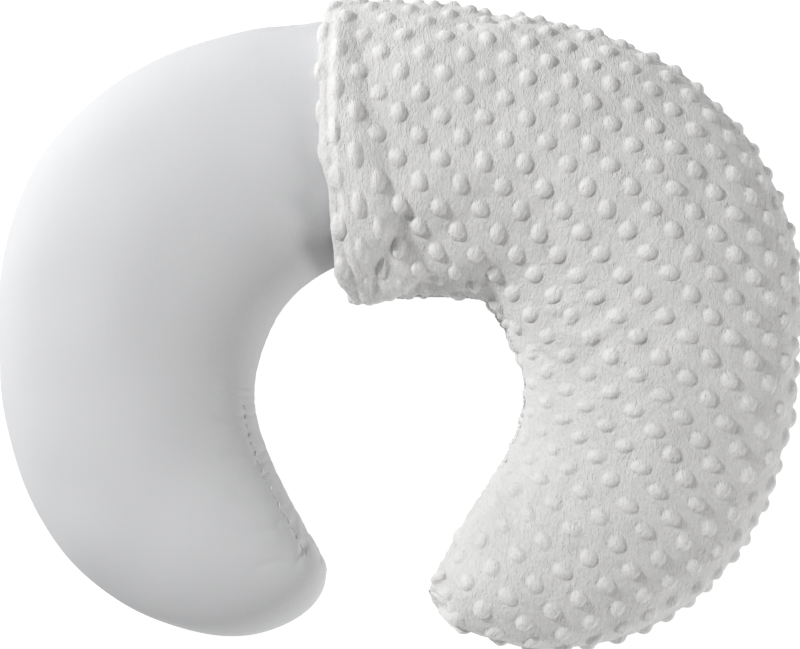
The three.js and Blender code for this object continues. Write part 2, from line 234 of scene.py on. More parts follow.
def inflated(name, grid, cloth):  # fills a closed form with air and returns its new grid
    rows, columns = grid.shape[:2]
    points = np.concatenate([grid.reshape(-1, 3), grid[:1].mean(1), grid[-1:].mean(1)])
    quads, caps = closedFaces(rows, columns)
    loose = placed(name + "Loose", meshFrom(name + "Loose", toPart(points), quads, caps))
    held = loose.vertex_groups.new(name="seams")
    seamColumns = (0, columns // 2)
    for row in range(rows):
        held.add([row * columns + column for column in seamColumns], 1.0, "REPLACE")
    held.add([rows * columns, rows * columns + 1], 1.0, "REPLACE")
    alone(loose)
    air = loose.modifiers.new("Cloth", "CLOTH")
    air.settings.quality = cloth["quality"]
    air.settings.mass = cloth["mass"]
    air.settings.tension_stiffness = cloth["tension"]
    air.settings.compression_stiffness = cloth["tension"]
    air.settings.shear_stiffness = cloth["shear"]
    air.settings.bending_stiffness = cloth["bending"]
    air.settings.use_pressure = True
    air.settings.uniform_pressure_force = cloth["pressure"]
    air.settings.effector_weights.gravity = 0
    air.settings.vertex_group_mass = "seams"
    air.settings.shrink_min = cloth["shrink"]
    scene = bpy.context.scene
    for number in range(1, inflateFrames + 1):
        scene.frame_set(number)
    bpy.ops.object.modifier_apply(modifier=air.name)
    scene.frame_set(1)
    moved = np.empty(len(loose.data.vertices) * 3, np.float32)
    loose.data.vertices.foreach_get("co", moved)
    bpy.data.objects.remove(loose)
    moved = moved.reshape(-1, 3)[: rows * columns].reshape(grid.shape) / mm - [holeX, holeY, 0.0]
    move = moved - grid
    far = np.linalg.norm(move, axis=2, keepdims=True)
    return grid + move * np.minimum(1, cloth["mostMove"] / np.maximum(far, 1e-6))


def outward(grid):  # unit normals of a form's grid, closed round each ring
    alongRing = np.roll(grid, -1, axis=1) - np.roll(grid, 1, axis=1)
    return unit(np.cross(np.gradient(grid, axis=0), alongRing))


def resting(grid, floor, softness=5.0):  # presses a form's underside flat where it lies
    low = floor(grid[:, :, 0])
    over = (grid[:, :, 2] - low) / softness
    grid[:, :, 2] = low + softness * np.where(over > 20, over, np.log1p(np.exp(np.minimum(over, 20))))
    return grid


def splineWeights(f):
    second = 3 * f ** 3 - 6 * f ** 2 + 4
    third = -3 * f ** 3 + 3 * f ** 2 + 3 * f + 1
    return np.stack([(1 - f) ** 3, second, third, f ** 3]) / 6


def finer(grid, rowsAt, columnsAt):  # smooth surface of a form, read at fractions of its rows and columns
    ends = np.concatenate([2 * grid[:1] - grid[1:2], grid, 2 * grid[-1:] - grid[-2:-1]])
    first = np.clip(np.floor(rowsAt).astype(int), 0, len(grid) - 2)
    weights = splineWeights(rowsAt - first)
    rows = sum(weights[k][:, None, None] * ends[first + k] for k in range(4))
    start = np.floor(columnsAt).astype(int)
    weights = splineWeights(columnsAt - start)
    count = grid.shape[1]
    return sum(weights[k][None, :, None] * rows[:, (start + k - 1) % count] for k in range(4))


def waves(points, size, seed, count=14):  # a smooth wandering value of about -1 to 1
    random = np.random.default_rng(seed)
    total = np.zeros(points.shape[:-1])
    for _ in range(count):
        direction = random.normal(size=points.shape[-1])
        direction *= 2 * math.pi / (size * random.uniform(0.7, 1.5)) / np.linalg.norm(direction)
        total += np.sin(points @ direction + random.uniform(0, 2 * math.pi))
    return total / math.sqrt(count) / 1.2


# A panel is the upper or lower half of a form, as cloth with a thickness.
fineSteps = 360
crestInward, crestOutward = 0.86, 0.96  # the share of the cloth's length that its pattern counts
crestEvening, lineEvening = 12, 4  # rows either side that a wandering line is averaged over


def evened(values, reach):  # a row of numbers averaged over this many neighbours on either side
    kernel = np.ones(2 * reach + 1) / (2 * reach + 1)
    return np.convolve(np.pad(values, reach, mode="edge"), kernel, mode="valid")


def panelSurface(grid, rowsAt, columnCount, side, edges):
    # side 1 is the upper panel and -1 the lower. edges gives how far along the cloth each
    # row keeps from the inner and the outer seam.
    half = grid.shape[1] // 2
    stops = np.linspace(0, half, fineSteps) * side
    dense = finer(grid, rowsAt, stops)
    step = np.linalg.norm(np.diff(dense, axis=1), axis=2)
    reach = np.concatenate([np.zeros((len(dense), 1)), np.cumsum(step, axis=1)], axis=1)
    total = reach[:, -1]
    share = np.linspace(0, 1, columnCount)
    wanted = edges[0][:, None] + (total - edges[0] - edges[1])[:, None] * share[None]
    points = np.empty((len(dense), columnCount, 3))
    for row in range(len(dense)):
        for axis in range(3):
            points[row, :, axis] = np.interp(wanted[row], reach[row], dense[row, :, axis])
    crest = reach[np.arange(len(dense)), np.argmax(side * dense[:, :, 2], axis=1)]
    crest = evened(crest, crestEvening)
    inner, outer = dense[:, 0, :2], dense[:, -1, :2]
    across = unit(outer - inner)
    signed = wanted - crest[:, None]
    signed = np.where(signed < 0, signed * crestInward, signed * crestOutward)
    crestAt = np.empty((len(dense), 2))
    for row in range(len(dense)):
        for axis in range(2):
            crestAt[row, axis] = np.interp(crest[row], reach[row], dense[row, :, axis])
    fabric = crestAt[:, None] + across[:, None] * signed[:, :, None]
    return {"points": points, "fabric": fabric, "fromInner": wanted, "fromOuter": total[:, None] - wanted}


def gridNormals(points, side):
    return unit(np.cross(np.gradient(points, axis=0), np.gradient(points, axis=1)) * side)


def turnedEdge(distance, width, depth):  # how far cloth sinks towards a seam it is sewn into
    near = np.clip(1 - distance / width, 0, 1)
    return -depth * (1 - np.sqrt(np.clip(1 - near ** 2, 0, 1)))


def stitchBorders(fineRow, coarseRow, flip):  # triangles from the face's edge to the fewer points behind
    found = []
    count = len(coarseRow) - 1
    marks = np.round(np.linspace(0, len(fineRow) - 1, count + 1)).astype(int)
    for k in range(count):
        middle = (marks[k] + marks[k + 1] + 1) // 2
        for j in range(marks[k], marks[k + 1]):
            found.append((fineRow[j], fineRow[j + 1], coarseRow[k] if j < middle else coarseRow[k + 1]))
        found.append((coarseRow[k], fineRow[middle], coarseRow[k + 1]))
    return [tuple(reversed(t)) if flip else t for t in found]


def sheetQuads(at):
    return np.stack([at[:-1, :-1], at[1:, :-1], at[1:, 1:], at[:-1, 1:]], -1).reshape(-1, 4)


def shellMesh(name, face, back, side, sparse=5):
    # face is the outer surface and back the inner one, of which only every few rows and
    # columns are kept; a border joins their four edges.
    rows, columns = face.shape[:2]
    keptRows = np.round(np.linspace(0, rows - 1, max(rows // sparse, 2))).astype(int)
    keptColumns = np.round(np.linspace(0, columns - 1, max(columns // sparse, 2))).astype(int)
    behind = back[np.ix_(keptRows, keptColumns)]
    outerAt = np.arange(rows * columns).reshape(rows, columns)
    innerAt = np.arange(behind.shape[0] * behind.shape[1]).reshape(behind.shape[:2]) + rows * columns
    faceQuads, backQuads = sheetQuads(outerAt), sheetQuads(innerAt)[:, ::-1]
    borders = stitchBorders(outerAt[0], innerAt[0], False)
    borders += stitchBorders(outerAt[-1], innerAt[-1], True)
    borders += stitchBorders(outerAt[:, 0], innerAt[:, 0], True)
    borders += stitchBorders(outerAt[:, -1], innerAt[:, -1], False)
    quads = np.concatenate([faceQuads, backQuads])
    borders = np.array(borders)
    if side < 0:
        quads, borders = quads[:, ::-1], borders[:, ::-1]
    points = np.concatenate([face.reshape(-1, 3), behind.reshape(-1, 3)])
    return meshFrom(name, toPart(points), quads, borders)


def setFabricMap(piece, fabric, faceCount):  # the piece's UV map, in metres of cloth
    mesh = piece.data
    flat = np.zeros((len(mesh.vertices), 2), np.float32)
    flat[:faceCount] = fabric.reshape(-1, 2) * mm
    rest = np.empty(len(mesh.vertices) * 3, np.float32)
    mesh.vertices.foreach_get("co", rest)
    flat[faceCount:] = rest.reshape(-1, 3)[faceCount:, :2]
    layer = mesh.uv_layers.new(name="Fabric")
    corner = np.empty(len(mesh.loops), np.int32)
    mesh.loops.foreach_get("vertex_index", corner)
    layer.data.foreach_set("uv", flat[corner].ravel())


def setShade(piece, name, values):
    mesh = piece.data
    full = np.zeros(len(mesh.vertices), np.float32)
    full[: values.size] = values.ravel()
    mesh.attributes.new(name, "FLOAT", "POINT").data.foreach_set("value", full)


def rowPlaces(line, spacing):  # fractions of a form's rows, so that the finer rows lie this far apart
    step = np.linalg.norm(np.diff(line, axis=0), axis=1)
    apart = (spacing[1:] + spacing[:-1]) / 2
    count = np.concatenate([[0], np.cumsum(step / apart)])
    return np.interp(np.linspace(0, count[-1], int(count[-1]) + 1), count, np.arange(len(line)))


def puckers(along, fromSeam, spacing, reach, depth, seed):  # short valleys that run out from a seam
    wander = 0.8 * np.sin(along / 23 + seed) + 0.35 * np.sin(along / 7.1 + 2 * seed)
    phase = along / spacing + wander
    valley = (0.5 + 0.5 * np.cos(2 * math.pi * phase)) ** 3
    far = reach * (0.65 + 0.35 * np.sin(phase * 2.4 + seed))
    strength = 0.7 + 0.3 * np.sin(phase * 1.7 + 3 * seed)
    return -depth * strength * valley * np.exp(-(fromSeam / far) ** 2)


def creases(points, strokes):  # soft valleys (or ridges) that follow strokes in plan
    total = np.zeros(points.shape[:-1])
    for x0, y0, x1, y1, width, depth in strokes:
        start, run = np.array([x0, y0]), np.array([x1 - x0, y1 - y0])
        length = np.linalg.norm(run)
        along = (points[..., :2] - start) @ run / length
        aside = (points[..., :2] - start) @ np.array([-run[1], run[0]]) / length
        aside = aside + 0.06 * length * np.sin(along / length * 5 + x0)
        taper = smooth(along, 0, 0.35 * length) * (1 - smooth(along, 0.6 * length, length))
        total -= depth * taper * np.exp(-(aside / width) ** 2)
    return total


# The pillow itself is cotton ticking stuffed with fibre.
ticking = {
    "rings": 191,
    "endReach": 0.992,
    "visibleSpacing": 1.9,
    "hiddenSpacing": 6.0,
    "columns": 118,
    "wall": 0.9,
    "seamGap": 0.15,
    "seamWidth": 5.0,
    "seamDepth": 2.0,
    "ripple": 0.55,
    "hiddenInset": 2.5,  # the covered arm is squeezed a little by its cover
    "rippleSize": 70,
    "innerPuckers": (10.5, 20, 0.35, 0.7),  # spacing, reach, depth, seed
    "outerPuckers": (12, 10, 0.55, 1.3),
    "hiddenFrom": (-20, 10),
    "crownFrom": (40, 90),
    "lean": 0.16,  # of the crest, outwards along the arm and back at its tip
}
# The closing seam rides up on the bare arm; first and last count from its tip to the crown's middle.
closing = {
    "first": 0.06, "last": 0.46, "up": 6.0, "width": 1.4, "depth": 0.3,
    "puckers": ((9.5, 5, 0.6, 0.7), (5.6, 3, 0.35, 2.1)),
}
tickingCloth = {
    "quality": 5, "mass": 0.3, "tension": 15, "shear": 5, "bending": 2.0,
    "pressure": 4.0, "shrink": -0.01, "mostMove": 9.0, "quickSwell": 4.0,
}
tickingCreases = [  # start x, y, end x, y, width, depth: soft hollows inside the bare arm's bend
    (-122, 22, -92, 6, 3.5, 0.4), (-118, -14, -90, -28, 3, 0.4), (-112, -34, -80, -52, 3, 0.5),
    (-108, -58, -70, -74, 3, 0.5), (-100, -84, -60, -92, 3, 0.45), (-92, -112, -52, -108, 3, 0.4),
    (-86, -60, -80, -30, 2.2, 0.45), (-72, -90, -64, -66, 2.0, 0.4), (-60, -116, -52, -92, 2.0, 0.5),
]


def tickingGrid():
    inner, outer = tickingPlan()
    reach = np.linspace(-ticking["endReach"], ticking["endReach"], ticking["rings"])
    curves = []
    for line in (inner, outer):
        points = atShare(line, ringShare(np.abs(reach)))
        points[:, 0] *= np.where(reach < 0, -1, 1)
        points[:, 0] += plan["lean"] * smooth(points[:, 0], 0, 60)
        curves.append(points)
    arm = np.abs(reach)
    outwards = smooth(arm, 0.1, 0.4) * (1 - smooth(arm, 0.55, 0.75)) - smooth(arm, 0.75, 0.92)
    return ringGrid(*curves, 0.0, ticking["lean"] * outwards)


layers = {  # of the cover, under the ticking
    "outer": 2.8, "tuckedIn": 2.5, "gap": 0.3, "starts": (-66, -42), "ends": (26, 60), "snug": (0, 40),
}


def tickingFloor(x):  # the bare end lies on the floor, the rest on the layers of its cover
    tuckedIn = layers["tuckedIn"] * (1 - smooth(x, *layers["ends"]))
    return (layers["outer"] + tuckedIn) * smooth(x, *layers["starts"]) + layers["gap"]


def coveredAt(x):  # 0 on the bare arm, 1 where the cover is snug
    return smooth(x, *layers["snug"])


print("stuffing the ticking")
tickingForm = resting(inflated("ticking", tickingGrid(), tickingCloth), tickingFloor)


def tickingPanel(name, side):
    seams = tickingForm[:, [0, form["columns"] // 2]]
    spacing = ticking["visibleSpacing"] + ticking["hiddenSpacing"] * smooth(seams[:, 1, 0], -5, 30)
    rowsAt = rowPlaces(seams[:, 1], spacing)
    keep = np.full(len(rowsAt), ticking["seamGap"])
    surface = panelSurface(tickingForm, rowsAt, ticking["columns"], side, (keep, keep))
    points, fromInner, fromOuter = surface["points"], surface["fromInner"], surface["fromOuter"]
    normal = gridNormals(points, side)
    along = distances(points[:, 0])[:, None]
    share = 2 * along / along[-1]  # 0 at the bare tip, 1 at the middle of the crown
    outerAlong = distances(points[:, -1])[:, None]
    bare = 1 - smooth(points[:, :, 0], *ticking["hiddenFrom"])
    innerCurve = bare * (1 - smooth(points[:, :, 1], *ticking["crownFrom"]))
    closed = bare * smooth(share, closing["first"] - 0.03, closing["first"] + 0.02)
    closed *= (1 - smooth(share, closing["last"] - 0.02, closing["last"] + 0.06)) * (side > 0)
    inset = np.linalg.norm(points[:, :, :2] - points[:, :1, :2], axis=2)
    fromLine = np.abs(inset - closing["up"])
    relief = sum(puckers(along, fromLine, *shape) for shape in closing["puckers"]) * closed
    relief -= closing["depth"] * np.exp(-(fromLine / closing["width"]) ** 2) * closed
    relief += puckers(along, fromInner, *ticking["innerPuckers"]) * innerCurve
    relief += puckers(outerAlong, fromOuter, *ticking["outerPuckers"]) * bare
    relief += waves(points, ticking["rippleSize"], 11) * ticking["ripple"] * bare
    relief += creases(points, tickingCreases) * (side > 0)
    relief += turnedEdge(np.minimum(fromInner, fromOuter), ticking["seamWidth"], ticking["seamDepth"])
    relief -= ticking["hiddenInset"] * coveredAt(points[:, :, 0])
    face = points + normal * relief[:, :, None]
    face[:, :, 2] = np.maximum(face[:, :, 2], tickingFloor(face[:, :, 0]))
    back = face - normal * ticking["wall"]
    piece = placed(name, shellMesh(name, face, back, side))
    setFabricMap(piece, surface["fabric"], face.shape[0] * face.shape[1])
    return piece, {"face": face, "normal": normal, "edge": inset, "share": share[:, 0]}


tickingTop, bareFace = tickingPanel("tickingTopPanel", 1)
tickingBottom = tickingPanel("tickingBottomPanel", -1)[0]


filling = {"inset": 3.4, "lumpSize": 34, "lump": 0.9, "rows": 260, "columns": 110}


def fillingForm():
    rows = np.linspace(0, ticking["rings"] - 1, filling["rows"])
    columns = np.linspace(0, form["columns"], filling["columns"], endpoint=False)
    grid = finer(tickingForm, rows, columns)
    depth = filling["inset"] + ticking["hiddenInset"] * coveredAt(grid[:, :, 0])
    thin = smooth(np.linalg.norm(grid - grid.mean(1, keepdims=True), axis=2), 4, 24)
    lumps = waves(grid, filling["lumpSize"], 5) * filling["lump"] - filling["lump"]
    grid = grid + outward(grid) * ((lumps - depth) * thin)[:, :, None]
    rings, around = grid.shape[:2]
    points = np.concatenate([grid.reshape(-1, 3), grid[:1].mean(1), grid[-1:].mean(1)])
    quads, caps = closedFaces(rings, around)
    return placed("fibreFilling", meshFrom("fibreFilling", toPart(points), quads, caps))


fibreFilling = fillingForm()

# The slipcover is raised-dot plush.
cover = {
    "rings": 118,
    "foldReach": 0.042,
    "foldInnerX": -19,
    "foldOuterX": -27,
    "endReach": 0.996,
    "rise": 4.5,  # of the crest over the ticking's
    "foldRise": 5,
    "foldNear": (-22, 70),
    "lean": 0.08,
    "spacing": 1.4,
    "columns": 200,
    "wall": 2.5,
    "seamGap": 0.2,
    "zipSlot": 5.0,
    "zipEndAngle": -32,
    "zipEndFade": 2,
    "seamWidth": 6.0,
    "seamDepth": 2.8,
    "ripples": ((46, 23, 0.8), (17, 29, 0.22)),  # size, seed, height
    "tuftSize": 4.6,
    "tuft": 0.11,
    "innerPuckers": (8.5, 11, 0.9, 0.4),  # spacing, reach, depth, seed
    "outerPuckers": (11, 12, 1.0, 1.9),
    "clearance": 0.05,  # over the floor
    "innerSide": 40,  # the inner seam's relief fades in over this much cloth from the middle
}
coverCloth = {
    "quality": 5, "mass": 0.4, "tension": 12, "shear": 4, "bending": 1.0,
    "pressure": 4.0, "shrink": -0.03, "mostMove": 8.0, "quickSwell": 4.0,
}
foldEdge = np.array([  # y and x of the line where the cover turns back on itself
    (40, -19), (59, -19), (67, -23), (77, -28), (100, -31), (133, -33), (153, -36), (176, -37),
    (219, -37), (245, -34.5), (255, -27), (270, -27),
])


def coverGrid():
    inner, outer = coverPlan()
    reach = np.linspace(-cover["foldReach"], cover["endReach"], cover["rings"])
    share = ringShare(np.maximum(reach, 0))
    left = np.clip(-reach / cover["foldReach"], 0, 1)
    innerLine, outerLine = atShare(inner, share), atShare(outer, share)
    innerLine[:, 0] += cover["foldInnerX"] * left
    outerLine[:, 0] += cover["foldOuterX"] * left
    hold = 1 - smooth(reach, -cover["foldReach"], 0.16)

    def bow(y, across):
        low, high = foldEdge[1], foldEdge[-2]
        straight = low[1] + (high[1] - low[1]) * (y - low[0]) / (high[0] - low[0])
        return hold[:, None] * (np.interp(y, foldEdge[:, 0], foldEdge[:, 1]) - straight)

    middleX = (innerLine[:, 0] + outerLine[:, 0]) / 2
    rise = cover["rise"] + cover["foldRise"] * (1 - smooth(middleX, *cover["foldNear"]))
    lean = cover["lean"] * smooth(reach, 0.1, 0.4) * (1 - smooth(reach, 0.6, 0.8))
    return ringGrid(innerLine, outerLine, rise, lean, bow)


print("filling out the slipcover")
coverForm = resting(inflated("cover", coverGrid(), coverCloth), lambda x: 0 * x)

dots = {
    "pitch": 27.0,
    "rowPitch": 13.2,
    "radius": 5.25,  # radius at its foot
    "roundness": 0.64,
    "height": 3.45,
    "slope": -2.5,  # degrees that the rows lean in the upper part
    "armSlope": -17.0,  # and along the arm
    "turnsOver": (-70, 30),
    "pivot": (205, 0),
    "origin": (4, 3),
    "strayed": 0.5,
    "widthVaries": 0.1,
    "heightVaries": 0.12,
    "stretch": 0.35,  # across the cuff
}


def scatter(a, b, seed):  # a fixed value of -1 to 1 for each dot
    return np.sin(a * 12.9898 + b * 78.233 + seed * 37.719) * 43758.5453 % 1 * 2 - 1


def dotRelief(fabric, points, high, cuff):  # the raised dots, in rows that lean with the cloth
    lower = 1 - smooth(points[:, :, 1], *dots["turnsOver"])
    turn = np.radians(dots["slope"] + (dots["armSlope"] - dots["slope"]) * lower)
    x, y = fabric[:, :, 0] - dots["pivot"][0], fabric[:, :, 1] - dots["pivot"][1]
    u = (x * np.cos(turn) + y * np.sin(turn) + dots["origin"][0]) / dots["pitch"]
    v = (y * np.cos(turn) - x * np.sin(turn) + dots["origin"][1]) / dots["rowPitch"]
    best = np.zeros(u.shape)
    for row in (np.floor(v), np.floor(v) + 1):
        shift = np.where(np.mod(row, 2) > 0.5, 0.5, 0.0)
        column = np.round(u - shift)
        aside = (u - shift - column) * dots["pitch"] + dots["strayed"] * scatter(column, row, 1)
        over = (v - row) * dots["rowPitch"] + dots["strayed"] * scatter(column, row, 2)
        wide = 1 + dots["widthVaries"] * scatter(column, row, 3)
        drawn = dots["stretch"] * cuff
        far = np.hypot(aside / wide * (1 + drawn), over * wide * (1 - drawn))
        dot = np.clip(1 - (far / dots["radius"]) ** 2, 0, 1) ** dots["roundness"]
        best = np.maximum(best, dot * (1 + dots["heightVaries"] * scatter(column, row, 4)))
    return best * high


dotsVary = {  # shares of the dots' height, and where they hold
    "bend": 0.4, "bendNear": (95, 165), "bendBelow": (0, 60),
    "edge": 0.25, "edgeNear": (6, 22),
    "flap": 0.6, "flapBelow": (62, 80), "flapLeft": (0, 40),
    "crown": 0.3, "crownFrom": (70, 90), "crownTo": (110, 150), "crownLeft": (20, 50),
    "cuff": 0.15,
}


def dotHeight(x, y, fromInner, cuff):  # lower where the plush is stretched, turned back or hangs loose
    vary = dotsVary
    bend = (1 - smooth(np.hypot(x, y), *vary["bendNear"])) * (1 - smooth(y, *vary["bendBelow"]))
    flat = 1 - vary["bend"] * bend - vary["edge"] * (1 - smooth(fromInner, *vary["edgeNear"]))
    loose = 1 - vary["flap"] * (1 - smooth(y, *vary["flapBelow"])) * (1 - smooth(x, *vary["flapLeft"]))
    crown = smooth(y, *vary["crownFrom"]) * (1 - smooth(y, *vary["crownTo"]))
    loose += vary["crown"] * crown * (1 - smooth(x, *vary["crownLeft"]))
    return dots["height"] * flat * loose * (1 - vary["cuff"] * cuff)


lip = {  # the cover's edges stand out to hide the slider, between these angles
    "out": 3.6, "reach": 4.5, "starts": (12, 20), "ends": (38, 44), "rightOf": (30, 50),
}
hem = {  # the sewn edge round the hole, drawn up in small scallops
    "gather": 1.5, "scallop": 9.5, "reach": 5.5, "inset": 5.2, "depth": 0.8, "width": 1.3,
}
cuffShape = {"rise": 5.0, "from": -19, "to": 4, "valley": 2.2, "valleyWidth": 10.0}
coverCreases = [  # start x, y, end x, y, width, depth: valleys, or ridges where the depth is negative
    (160, 56, 104, 29, 6.5, -1.6), (164, 48, 112, 20, 3.6, 1.0), (122, 66, 92, 46, 5, -1.0),
    (59, 249, 88, 214, 3.0, 1.2), (78, 247, 112, 216, 2.6, 1.0), (40, 252, 60, 226, 2.6, 0.8),
    (104, 238, 140, 212, 2.6, 0.8), (84, 31, 112, 14, 2.4, 0.9),
    (92, 48, 128, 50, 2.4, 0.9), (60, 66, 66, 84, 2.4, 1.8), (52, 62, 50, 80, 2.0, 1.0),
    (36, -134, 58, -134, 2.4, 0.5), (70, -70, 92, -86, 3.0, 0.8),
    (60, -96, 90, -104, 3.0, 0.7), (150, 60, 196, 40, 4.0, 0.7), (170, 20, 214, 6, 4.0, 0.6),
]
valleyLine = np.array([(50, 30), (70.6, 23.1), (120, 6), (179.5, -9.9), (239, -23.1), (258, -27)])
foldRoll = {
    "radius": 4.6, "innerRadius": 6.6, "narrowsOver": (62, 110),
    "turnSteps": 16, "tuckedEnd": 15.0, "tuckedSteps": 9, "tuckedRelief": 0.2,
}


def rolledFold(surface, side):  # turns a panel's first edge round and back inside
    points, fabric = surface["points"], surface["fabric"]
    normal = gridNormals(points, side)[0]
    away = points[0] - points[3]
    away = unit(away - normal * (away * normal).sum(1, keepdims=True))
    low = 1 - smooth(points[0, :, 1], *foldRoll["narrowsOver"])
    radius = (foldRoll["radius"] + (foldRoll["innerRadius"] - foldRoll["radius"]) * low)[:, None]
    rows, cloth = [], []
    for reach in np.linspace(foldRoll["tuckedEnd"], 0, foldRoll["tuckedSteps"], endpoint=False):
        rows.append(points[0] - away * reach - normal * 2 * radius)
        cloth.append(math.pi * radius[:, 0] + reach)
    for turn in np.linspace(math.pi, 0, foldRoll["turnSteps"], endpoint=False):
        rows.append(points[0] + away * radius * math.sin(turn) - normal * radius * (1 - math.cos(turn)))
        cloth.append(turn * radius[:, 0])
    extra = len(rows)
    surface["points"] = np.concatenate([np.array(rows), points])
    shift = np.stack([-np.array(cloth), np.zeros((extra, points.shape[1]))], -1)
    surface["fabric"] = np.concatenate([fabric[0] + shift, fabric])
    for name in ("fromInner", "fromOuter"):
        surface[name] = np.concatenate([np.repeat(surface[name][:1], extra, axis=0), surface[name]])
    return extra


def coverPanel(name, side):
    seams = coverForm[:, [0, form["columns"] // 2]]
    rowsAt = rowPlaces(seams[:, 1], np.full(cover["rings"], cover["spacing"]))
    innerSeam = finer(coverForm, rowsAt, np.array([0.0]))[:, 0]
    angle = np.degrees(np.arctan2(innerSeam[:, 1], innerSeam[:, 0]))
    zipEnd, fade = cover["zipEndAngle"], cover["zipEndFade"]
    slot = cover["zipSlot"] * smooth(angle, zipEnd - fade, zipEnd + fade)
    innerEdge = cover["seamGap"] + slot
    outerEdge = np.full(len(rowsAt), cover["seamGap"])
    surface = panelSurface(coverForm, rowsAt, cover["columns"], side, (innerEdge, outerEdge))
    fromFold = distances(surface["points"][:, cover["columns"] // 2])
    extra = rolledFold(surface, side)
    fromFold = np.concatenate([np.zeros(extra), fromFold])[:, None]
    points, fromInner, fromOuter = surface["points"], surface["fromInner"], surface["fromOuter"]
    normal = gridNormals(points, side)
    along = distances(points[:, 0])[:, None]
    outerAlong = distances(points[:, -1])[:, None]
    x, y = points[:, :, 0], points[:, :, 1]

    aside = x - np.interp(y, valleyLine[:, 0], valleyLine[:, 1])
    upper = smooth(points[:, :, 2], seamZ - 10, seamZ + 30)
    cuff = 1 - smooth(aside, cuffShape["from"], cuffShape["to"])
    valley = np.exp(-(aside / cuffShape["valleyWidth"]) ** 2) * smooth(fromFold, 6, 22)
    relief = upper * (cuffShape["rise"] * cuff * smooth(fromFold, -2, 6) - cuffShape["valley"] * valley)
    relief += dotRelief(surface["fabric"], points, dotHeight(x, y, fromInner, cuff), cuff)
    # relief height kept to colour the plush lighter on the dot tops and the cuff and darker in the
    # valleys: painted highlight and painted shade
    paintedShadeRelief = relief.copy()
    keptEdge = np.concatenate([np.full(extra, innerEdge[0]), innerEdge])[:, None]
    edge = np.minimum(fromInner - keptEdge, fromOuter - cover["seamGap"])
    inside = smooth(fromOuter - fromInner, 0, cover["innerSide"])
    relief += puckers(along, edge, *cover["innerPuckers"]) * inside
    phase = along / hem["scallop"] + 0.5 * np.sin(along / 17) + 0.3 * np.sin(along / 5.3)
    gathered = 0.5 - 0.5 * np.cos(2 * math.pi * phase)
    sewnLine = np.exp(-((edge - hem["inset"]) / hem["width"]) ** 2)
    relief -= hem["gather"] * gathered * np.exp(-(edge / hem["reach"]) ** 2) * inside
    relief -= hem["depth"] * sewnLine * inside * (0.6 + 0.4 * gathered)
    relief += puckers(outerAlong, fromOuter, *cover["outerPuckers"])
    relief += sum(waves(points, size, seed) * high for size, seed, high in cover["ripples"])
    relief += waves(points, cover["tuftSize"], 31, 22) * cover["tuft"]
    relief += creases(points, coverCreases) * (side > 0)
    relief += turnedEdge(np.maximum(edge, 0), cover["seamWidth"], cover["seamDepth"])
    bearing = np.degrees(np.arctan2(y, x))
    overSlider = smooth(bearing, *lip["starts"]) * (1 - smooth(bearing, *lip["ends"]))
    overSlider = overSlider * smooth(x, *lip["rightOf"])
    relief += lip["out"] * overSlider * np.exp(-(edge / lip["reach"]) ** 2) * inside
    relief[: foldRoll["tuckedSteps"]] *= foldRoll["tuckedRelief"]
    face = points + normal * relief[:, :, None]
    back = points - normal * cover["wall"]
    face[:, :, 2] = np.maximum(face[:, :, 2], cover["clearance"])
    back[:, :, 2] = np.maximum(back[:, :, 2], cover["wall"])
    piece = placed(name, shellMesh(name, face, back, side))
    setFabricMap(piece, surface["fabric"], face.shape[0] * face.shape[1])
    # stored on the piece for the plush's painted highlight and painted shade
    setShade(piece, "PaintedShadeRelief", paintedShadeRelief)
    return piece, {"face": face, "normal": normal, "edge": edge, "extra": extra, "angle": angle}


coverTop, upperFace = coverPanel("coverTopPanel", 1)
coverBottom, lowerFace = coverPanel("coverBottomPanel", -1)
print("cover", len(coverTop.data.polygons), "ticking", len(tickingTop.data.polygons))

# The left half of the cover is tucked in round the ticking, bunched in soft ripples.
tucked = {
    "from": -24, "to": 26, "rows": 34, "columns": 150, "searchRows": 30,
    "off": 0.5, "clear": 0.3, "wall": 2.2, "overlap": 0.7,
    "bunch": 0.9, "bunchSize": 19, "bunchFrom": (8, 40),
}


def tuckedForm():
    middleRow, around = ticking["rings"] // 2, tucked["searchRows"]
    near = np.arange(middleRow - around, middleRow + around + 1)
    wanted = np.linspace(tucked["from"], tucked["to"], tucked["rows"])
    rowsAt = np.interp(wanted, tickingForm[near, form["columns"] // 2, 0], near)
    grid = finer(tickingForm, rowsAt, np.linspace(0, form["columns"], tucked["columns"], endpoint=False))
    normal = outward(grid)
    ripple = np.abs(waves(grid, tucked["bunchSize"], 41)) * tucked["bunch"]
    ripple = ripple * smooth(grid[:, :, 2], *tucked["bunchFrom"])
    face = grid + normal * (tucked["off"] + tucked["wall"] + ripple)[:, :, None]
    back = grid + normal * (tucked["off"] + 0.5 * ripple)[:, :, None]
    lowest = cover["wall"] + tucked["clear"]
    face[:, :, 2] = np.maximum(face[:, :, 2], lowest)
    back[:, :, 2] = np.maximum(back[:, :, 2], lowest + tucked["overlap"] * tucked["wall"])
    loop = np.concatenate([face, back[::-1]])
    rows, columns = loop.shape[:2]
    at = np.arange(rows * columns).reshape(rows, columns)
    below = np.roll(at, -1, axis=0)
    quads = np.stack([at, below, np.roll(below, -1, axis=1), np.roll(at, -1, axis=1)], -1).reshape(-1, 4)
    mesh = meshFrom("turnedInCover", toPart(loop.reshape(-1, 3)), quads, np.zeros((0, 3), int))
    return placed("turnedInCover", mesh)


turnedIn = tuckedForm()

print("sewing the seams")


stitchSides, stitchRounding = 6, 0.3


